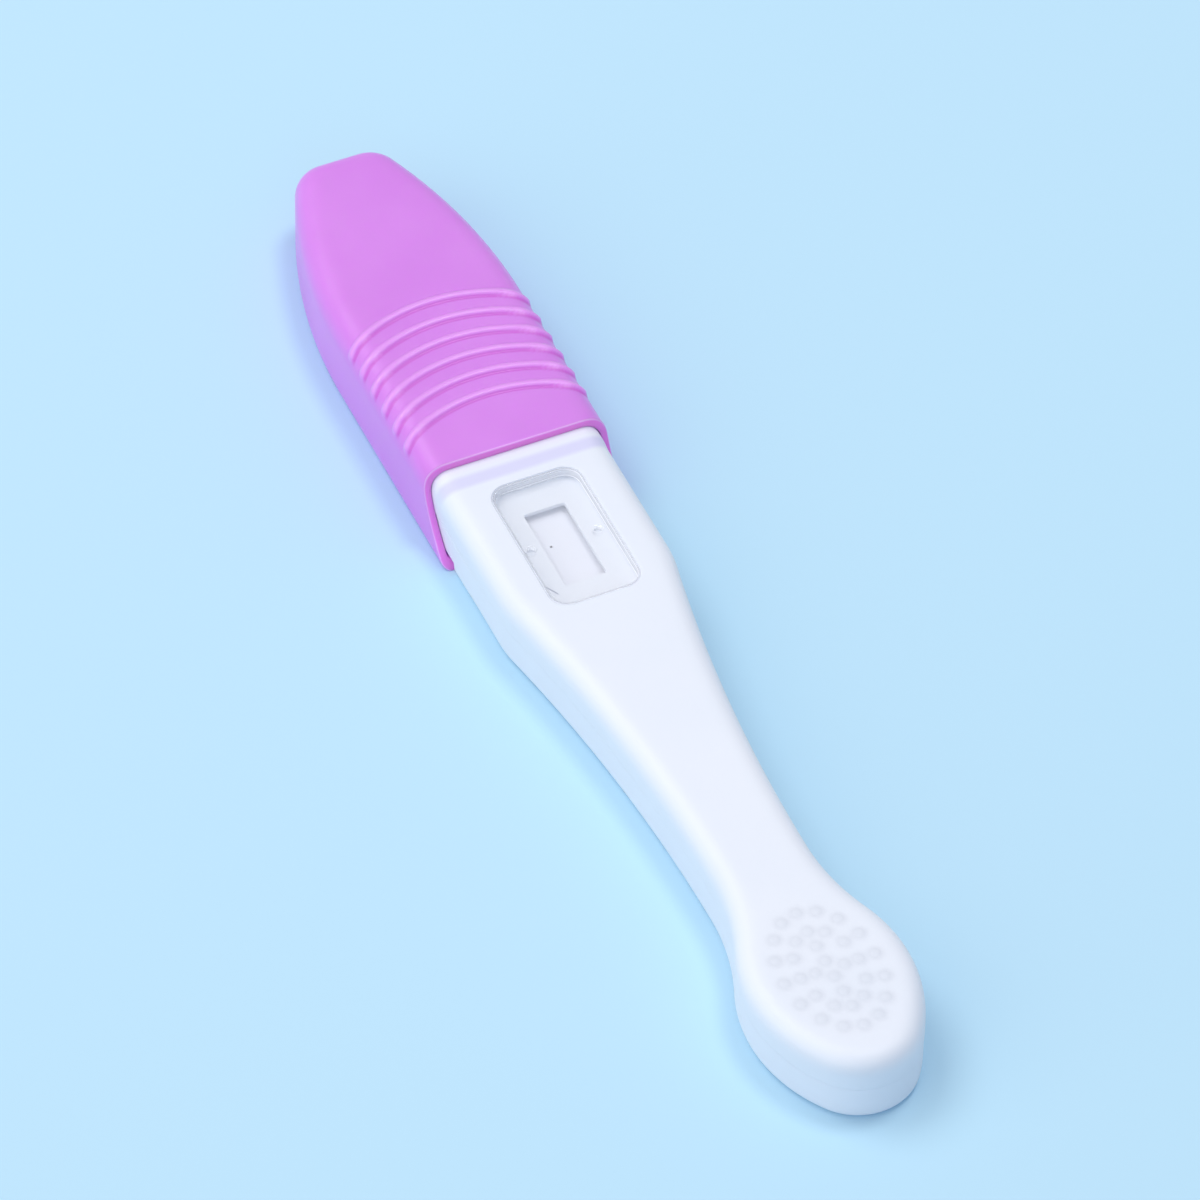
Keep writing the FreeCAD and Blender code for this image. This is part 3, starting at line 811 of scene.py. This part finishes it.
def rib_tree():
    """Node tree that raises arched ribs on the cap's skin where the distance to an arc is small.

    It also keeps where the crests and their feet towards the mouth lie, for the painted highlight on the
    crests and the painted shade at their feet.
    """
    tree, given = open_tree("cap_ribs", (
        ("Rib Count", rib_count),
        ("Pitch", rib_pitch * MM),
        ("First Crest", (rib_first_x + mouth_x) * MM),
        ("Arc Radius", rib_arc_radius * MM),
        ("Half Width", rib_width * MM / 2.0),
        ("Height", rib_height * MM),
        ("End Height", rib_end_z * MM),
        ("End Fade", rib_end_fade * MM),
    ))
    where = add_node(tree, "GeometryNodeInputPosition")
    split = add_node(tree, "ShaderNodeSeparateXYZ", where.outputs[0])
    outside = add_node(tree, "GeometryNodeInputNamedAttribute", "outer_skin", data_type="FLOAT")
    known = {socket.name: socket for socket in (*given, *split.outputs)}
    known["Outside"] = outside.outputs["Attribute"]
    work_out(tree, known, (
        ("arc squared", "MULTIPLY", "Arc Radius", "Arc Radius"),
        ("across squared", "MULTIPLY", "Y", "Y"),
        ("reach squared", "SUBTRACT", "arc squared", "across squared"),
        ("reach", "SQRT", "reach squared"),
        ("lag", "SUBTRACT", "Arc Radius", "reach"),
        ("crest", "ADD", "First Crest", "lag"),
        ("past first", "SUBTRACT", "X", "crest"),
        ("turns", "DIVIDE", "past first", "Pitch"),
        ("last", "SUBTRACT", "Rib Count", 1.0),
        ("whole", "ROUND", "turns"),
        ("counted", "MAXIMUM", "whole", 0.0),
        ("nearest", "MINIMUM", "counted", "last"),
        ("left over", "SUBTRACT", "turns", "nearest"),
        ("along", "MULTIPLY", "left over", "Pitch"),
        ("slant", "DIVIDE", "reach", "Arc Radius"),
        ("away", "MULTIPLY", "along", "slant"),
        ("share", "DIVIDE", "away", "Half Width"),
        ("share squared", "MULTIPLY", "share", "share"),
        ("inner", "SUBTRACT", 1.0, "share squared"),
        ("near", "MAXIMUM", "inner", 0.0),
        ("profile", "POWER", "near", rib_fullness),
        ("above end", "SUBTRACT", "Z", "End Height"),
        ("fade share", "DIVIDE", "above end", "End Fade"),
        ("faded low", "MAXIMUM", "fade share", 0.0),
        ("fade", "MINIMUM", "faded low", 1.0),
        ("shown", "MULTIPLY", "fade", "Outside"),
        ("shape", "MULTIPLY", "profile", "shown"),
        ("rise", "MULTIPLY", "shape", "Height"),
        # Band at each rib's foot towards the mouth, for painted shade
        ("past foot", "SUBTRACT", "share", foot_shade_place),
        ("foot share", "DIVIDE", "past foot", foot_shade_width),
        ("foot squared", "MULTIPLY", "foot share", "foot share"),
        ("foot inner", "SUBTRACT", 1.0, "foot squared"),
        ("foot near", "MAXIMUM", "foot inner", 0.0),
        ("foot", "MULTIPLY", "foot near", "shown"),
    ))
    body = given["Geometry"]
    # Kept for the cap's colour: painted highlight on the crests, painted shade at the feet
    for name, value in (("rib_crest_painted_highlight", known["shape"]), ("rib_foot_painted_shade", known["foot"])):
        kept = add_node(tree, "GeometryNodeStoreNamedAttribute", body, data_type="FLOAT",
                        domain="POINT", Name=name, Value=value)
        body = kept.outputs["Geometry"]
    normal = add_node(tree, "GeometryNodeInputNormal")
    push = add_node(tree, "ShaderNodeVectorMath", normal.outputs[0], operation="SCALE", Scale=known["rise"])
    raised = add_node(tree, "GeometryNodeSetPosition", body, Offset=push.outputs["Vector"])
    return close_tree(tree, raised.outputs["Geometry"], cap_plastic)


def ribbed_cap():
    piece = cap_wall_form()
    piece.modifiers.new("ribs", "NODES").node_group = rib_tree()
    piece.data = made_plain(piece)
    return piece


def rgb(code):
    """Linear colour of an sRGB hex value."""
    values = [int(code[i:i + 2], 16) / 255.0 for i in (1, 3, 5)]
    linear = [v / 12.92 if v <= 0.04045 else ((v + 0.055) / 1.055) ** 2.4 for v in values]
    return (*linear, 1.0)


def feed(tree, node, inputs):
    """Link a node's inputs, by name or number, to other nodes' outputs, or set them to values."""
    for key, value in inputs.items():
        if isinstance(value, bpy.types.NodeSocket):
            tree.links.new(value, node.inputs[key])
        else:
            node.inputs[key].default_value = value


def add_node(tree, kind, *inputs, **settings):
    """Add one node. Its inputs are values or other nodes' outputs, in order; its settings are its
    own properties, or further inputs by name."""
    made = tree.nodes.new(kind)
    by_name = {}
    for name, value in settings.items():
        if hasattr(made, name):
            setattr(made, name, value)
        else:
            by_name[name.replace("_", " ")] = value
    feed(tree, made, {**dict(enumerate(inputs)), **by_name})
    return made


def material(name):
    made = bpy.data.materials.new(name)
    made.use_nodes = True
    tree = made.node_tree
    return made, tree, tree.nodes["Principled BSDF"]


def pattern_place(tree, scale=(1.0, 1.0, 1.0)):
    """Object coordinates in millimetres, stretched by scale."""
    source = add_node(tree, "ShaderNodeTexCoord")
    mapped = add_node(tree, "ShaderNodeMapping", source.outputs["Object"],
                      Scale=[value / MM for value in scale])
    return mapped.outputs["Vector"]


def clouded(tree, where, low, high, spread=(0.3, 0.7), **noise):
    """Noise, and the two colours that it shades between over its spread."""
    clouds = add_node(tree, "ShaderNodeTexNoise", where, **noise)
    tint = add_node(tree, "ShaderNodeValToRGB", clouds.outputs["Fac"])
    for stop, position, code in zip(tint.color_ramp.elements, spread, (low, high)):
        stop.position = position
        stop.color = rgb(code)
    return clouds.outputs["Fac"], tint.outputs["Color"]


def moulded_skin(tree, where, grain_scale, sheen, strength):
    """Inputs for a moulded face: roughness within sheen, and a bump too low to see as such."""
    grain = add_node(tree, "ShaderNodeTexNoise", where, Scale=grain_scale, Detail=3.0).outputs["Fac"]
    rough = add_node(tree, "ShaderNodeMapRange", grain, To_Min=sheen[0], To_Max=sheen[1])
    bump = add_node(tree, "ShaderNodeBump", Height=grain, Strength=strength, Distance=0.02 * MM)
    return {"Roughness": rough.outputs["Result"], "Normal": bump.outputs["Normal"]}


def line_distance(tree, where, start, end):
    """Distance in millimetres from a straight mark that runs from start to end."""
    run = Vector(end) - Vector(start)
    away = add_node(tree, "ShaderNodeVectorMath", where, start, operation="SUBTRACT")
    along = add_node(tree, "ShaderNodeVectorMath", away.outputs[0], run / run.length_squared,
                     operation="DOT_PRODUCT")
    share = add_node(tree, "ShaderNodeClamp", along.outputs["Value"])
    nearest = add_node(tree, "ShaderNodeVectorMath", run, operation="SCALE", Scale=share.outputs[0])
    gap = add_node(tree, "ShaderNodeVectorMath", away.outputs[0], nearest.outputs[0], operation="DISTANCE")
    return gap.outputs["Value"]


def moulded_cap_plastic():
    """Moulded polypropylene, orchid: a soft sheen that lets a little light into the wall.

    Painted highlights make it paler on the ribs' crests and the lip's edge, painted light makes the lip's cut
    face pinker and brighter, and painted shade makes it deeper at the feet of the ribs.
    """
    made, tree, shader = material("moulded_polypropylene_orchid")
    where = pattern_place(tree)
    tint = clouded(tree, where, "#DC8AEE", "#E090F2", Scale=0.09, Detail=2.0)[1]
    # Painted highlights on the crests and the lip's edge, painted light on the lip's cut face, painted shade
    # at the ribs' feet
    for layer, code in (("rib_crest_painted_highlight", "#EAA2FA"), ("rib_foot_painted_shade", "#D66CDC"),
                        ("lip_face_painted_light", "#F588EA"), ("lip_edge_painted_highlight", "#F0AEFC")):
        share = add_node(tree, "ShaderNodeAttribute", attribute_name=layer)
        tint = add_node(tree, "ShaderNodeMix", data_type="RGBA", Factor=share.outputs["Fac"],
                        A=tint, B=rgb(code)).outputs["Result"]
    nearest = None
    for start_x, start_y, end_x, end_y in cap_hairs:
        hair = line_distance(tree, where, (mouth_x + start_x, start_y, cap_high.z),
                             (mouth_x + end_x, end_y, cap_high.z))
        if nearest:
            hair = add_node(tree, "ShaderNodeMath", nearest, hair, operation="MINIMUM").outputs[0]
        nearest = hair
    clean = add_node(tree, "ShaderNodeMapRange", nearest, From_Min=hair_reach,
                     From_Max=hair_reach + hair_fade)
    dusty = add_node(tree, "ShaderNodeMix", data_type="RGBA", Factor=clean.outputs["Result"],
                     A=rgb("#A873B4"), B=tint)
    feed(tree, shader, {
        **moulded_skin(tree, where, 3.0, (0.27, 0.35), 0.05), "Base Color": dusty.outputs["Result"],
        "IOR": 1.49, "Subsurface Weight": 0.45, "Subsurface Radius": (1.0, 0.45, 1.0),
        "Subsurface Scale": 1.5 * MM})
    return made


def moulded_shell_plastic():
    """Moulded high-impact polystyrene, white: satin with a barely broken gloss.

    The slope of the bead has a painted lavender shade.
    """
    made, tree, shader = material("moulded_polystyrene_white")
    where = pattern_place(tree)
    tint = clouded(tree, where, "#ECF1FC", "#EFF3FD", Scale=0.06, Detail=2.0)[1]
    axes = add_node(tree, "ShaderNodeSeparateXYZ", where)
    known = {"X": axes.outputs["X"]}
    # Painted lavender shade along the bead's slope, on its upper part
    work_out(tree, known, (("past", "SUBTRACT", "X", mouth_x + painted_slope_shade_x), ("away", "ABSOLUTE", "past")))
    near = add_node(tree, "ShaderNodeMapRange", known["away"], interpolation_type="SMOOTHSTEP",
                    From_Min=0.3, From_Max=1.1, To_Min=1.0, To_Max=0.0)
    above = add_node(tree, "ShaderNodeMapRange", axes.outputs["Z"], From_Min=7.0, From_Max=8.8)
    both = add_node(tree, "ShaderNodeMath", near.outputs[0], above.outputs[0], operation="MULTIPLY")
    toned = add_node(tree, "ShaderNodeMix", data_type="RGBA", Factor=both.outputs[0], A=tint,
                     B=rgb("#DFDDFA"))
    feed(tree, shader, {
        **moulded_skin(tree, where, 2.5, (0.46, 0.56), 0.04), "Base Color": toned.outputs["Result"],
        "IOR": 1.55, "Subsurface Weight": 0.1, "Subsurface Radius": (1.0, 1.0, 1.0),
        "Subsurface Scale": 1.0 * MM})
    return made


def clear_tray_plastic():
    """Clear moulded polystyrene: glassy, with glints along its rim, a faint milky haze, and a painted
    highlight on its rounded edges.

    Shadow and diffuse rays pass, so that the window below stays light, and a short scratch shows.
    """
    made, tree, shader = material("clear_polystyrene")
    where = pattern_place(tree)
    waves = add_node(tree, "ShaderNodeTexNoise", where, Scale=0.5, Detail=1.0)
    bump = add_node(tree, "ShaderNodeBump", Height=waves.outputs["Fac"], Strength=0.08, Distance=0.02 * MM)
    wavy = bump.outputs["Normal"]
    feed(tree, shader, {"Normal": wavy, "Base Color": rgb("#FCFCFF"), "Roughness": 0.03,
                        "IOR": 1.49, "Transmission Weight": 1.0})
    face_side = add_node(tree, "ShaderNodeNewGeometry")
    facing = add_node(tree, "ShaderNodeSeparateXYZ", face_side.outputs["Normal"])
    ray = add_node(tree, "ShaderNodeLightPath")
    known = {socket.name: socket for socket in (*face_side.outputs, *facing.outputs, *ray.outputs)}
    known["grazing"] = add_node(tree, "ShaderNodeFresnel", Normal=wavy, IOR=1.49).outputs[0]
    ends = [(mouth_x + x, y, z) for x, y, z in tray_scratch]
    known["scratch distance"] = line_distance(tree, where, *ends)
    work_out(tree, known, (
        ("front", "SUBTRACT", 1.0, "Backfacing"),
        ("outer mirror", "MULTIPLY", "grazing", "front"),
        ("level", "ABSOLUTE", "Z"),
        ("upright", "SUBTRACT", 1.0, "level"),
        ("inner mirror", "MULTIPLY", "upright", tray_inner_mirror),
        ("mirror", "MAXIMUM", "outer mirror", "inner mirror"),
        ("slope", "MULTIPLY", "level", "upright"),
        ("passing", "MAXIMUM", "Is Shadow Ray", "Is Diffuse Ray"),
        ("scratched", "LESS_THAN", "scratch distance", scratch_half_width),
    ))
    # Share of white diffuse: a faint milky haze everywhere, rising to a painted highlight on the rounded
    # edges
    edge = add_node(tree, "ShaderNodeMapRange", known["slope"], From_Min=0.02, From_Max=0.2,
                    To_Min=0.14, To_Max=0.8)
    clear = add_node(tree, "ShaderNodeBsdfTransparent", rgb("#FFFFFF")).outputs[0]
    gloss = add_node(tree, "ShaderNodeBsdfGlossy", Normal=wavy, Roughness=0.06)
    haze_and_painted_highlight = add_node(tree, "ShaderNodeBsdfDiffuse", rgb("#F6F8FF"))
    dust = add_node(tree, "ShaderNodeBsdfDiffuse", rgb("#7F829C"))
    shown = clear
    for share, over in ((known["mirror"], gloss), (tray_refraction, shader), (edge.outputs[0], haze_and_painted_highlight),
                        (known["scratched"], dust)):
        shown = add_node(tree, "ShaderNodeMixShader", share, shown, over.outputs[0]).outputs[0]
    shown = add_node(tree, "ShaderNodeMixShader", known["passing"], shown, clear).outputs[0]
    feed(tree, tree.nodes["Material Output"], {"Surface": shown})
    return made


def membrane_surface():
    """Nitrocellulose membrane: flat matt white with a dark speck under the window."""
    made, tree, shader = material("nitrocellulose_membrane")
    where = pattern_place(tree)
    tint = clouded(tree, where, "#EEF0FC", "#F4F6FF", (0.0, 1.0), Scale=6.0, Detail=4.0)[1]
    middle = (mouth_x + membrane_speck[0], membrane_speck[1], membrane_high.z)
    away = add_node(tree, "ShaderNodeVectorMath", where, middle, operation="DISTANCE")
    clean = add_node(tree, "ShaderNodeMapRange", away.outputs["Value"],
                     From_Min=speck_reach[0], From_Max=speck_reach[1])
    mixed = add_node(tree, "ShaderNodeMix", data_type="RGBA", Factor=clean.outputs["Result"],
                     A=rgb("#2C2228"), B=tint)
    feed(tree, shader, {"Base Color": mixed.outputs["Result"], "Roughness": 0.9})
    return made


def fibre_surface(name, low, high, strands):
    """Bonded fibre: matt, with fine strands along the strip."""
    made, tree, shader = material(name)
    where = pattern_place(tree, (0.25, 1.0, 1.0))
    strand, tint = clouded(tree, where, low, high, Scale=strands, Detail=6.0, Roughness=0.7)
    bump = add_node(tree, "ShaderNodeBump", Height=strand, Strength=0.6, Distance=0.15 * MM)
    feed(tree, shader, {"Base Color": tint, "Normal": bump.outputs["Normal"], "Roughness": 0.95, "IOR": 1.4})
    return made


def card_surface():
    """Vinyl backing card: smooth white with a soft satin face."""
    made, tree, shader = material("vinyl_backing_card")
    tint = clouded(tree, pattern_place(tree), "#EFEFF2", "#F5F5F7", (0.0, 1.0), Scale=1.5, Detail=2.0)[1]
    feed(tree, shader, {"Base Color": tint, "Roughness": 0.5})
    return made


cap_plastic = moulded_cap_plastic()
shell_plastic = moulded_shell_plastic()
clear_plastic = clear_tray_plastic()
membrane_paper = membrane_surface()
wick_fibre = fibre_surface("bonded_polyester_wick", "#E4E4EA", "#F6F6FA", 2.2)
pad_fibre = fibre_surface("cellulose_pad", "#E9E7E4", "#F7F5F2", 3.0)
card_vinyl = card_surface()


def pale_floor():
    """Large plain floor that the stick lies on."""
    mesh = bmesh.new()
    bmesh.ops.create_grid(mesh, x_segments=1, y_segments=1, size=3.0)
    data = bpy.data.meshes.new("floor")
    mesh.to_mesh(data)
    mesh.free()
    floor = bpy.data.objects.new("floor", data)
    bpy.context.scene.collection.objects.link(floor)
    made, tree, shader = material("pale_floor")
    feed(tree, shader, {"Base Color": rgb("#C1E6FA"), "Roughness": 0.9})
    data.materials.append(made)


def soft_light(name, azimuth, elevation, distance, size, power, tone="#FFFFFF"):
    """Area lamp that looks at the stick from the given direction, in degrees round and up."""
    turn = math.radians(azimuth)
    tilt = math.radians(elevation)
    away = Vector((math.cos(turn) * math.cos(tilt), math.sin(turn) * math.cos(tilt), math.sin(tilt)))
    data = bpy.data.lights.new(name, "AREA")
    data.shape = "DISK"
    data.size = size
    data.energy = power
    data.color = rgb(tone)[:3]
    lamp = bpy.data.objects.new(name, data)
    lamp.location = away * distance
    lamp.rotation_euler = (-away).to_track_quat("-Z", "Y").to_euler()
    bpy.context.scene.collection.objects.link(lamp)


def studio():
    pale_floor()
    soft_light("key_light", 215.0, 60.0, 1.2, 0.7, 4.4)
    soft_light("top_light", 100.0, 74.0, 1.2, 0.34, 3.1)
    soft_light("side_light", 275.0, 30.0, 1.6, 1.8, 7.9, "#FFFBF4")
    soft_light("front_light", 345.0, 35.0, 1.5, 0.8, 2.0, "#A9D3FF")
    world = bpy.data.worlds.new("studio")
    world.use_nodes = True
    back = world.node_tree.nodes["Background"]
    feed(world.node_tree, back, {"Color": rgb("#F4F7FF"), "Strength": 0.43})
    bpy.context.scene.world = world
    bpy.context.scene.view_settings.view_transform = "Standard"


def dress():
    pieces = (
        (ribbed_cap(), cap_plastic, "cap", "cap", "cap_plastic"),
        (upper_shell(), shell_plastic, "handle", "upper_shell", "shell_plastic"),
        (lower_shell(), shell_plastic, "handle", "lower_shell", "shell_plastic"),
        (clear_tray(), clear_plastic, "handle", "window_lens", "clear_lens"),
    )
    for piece, finish, body, node, slot in pieces:
        piece.data.materials.clear()
        piece.data.materials.append(finish)
        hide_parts(node)
        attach(piece, body)
    kept = (("absorbent_wick", wick_fibre), ("sample_pad", pad_fibre), ("conjugate_pad", pad_fibre),
            ("absorbent_pad", pad_fibre), ("membrane", membrane_paper), ("backing_card", card_vinyl))
    for node, finish in kept:
        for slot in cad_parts[node].material_slots:
            slot.material = finish


aim_camera()
studio()
dress()
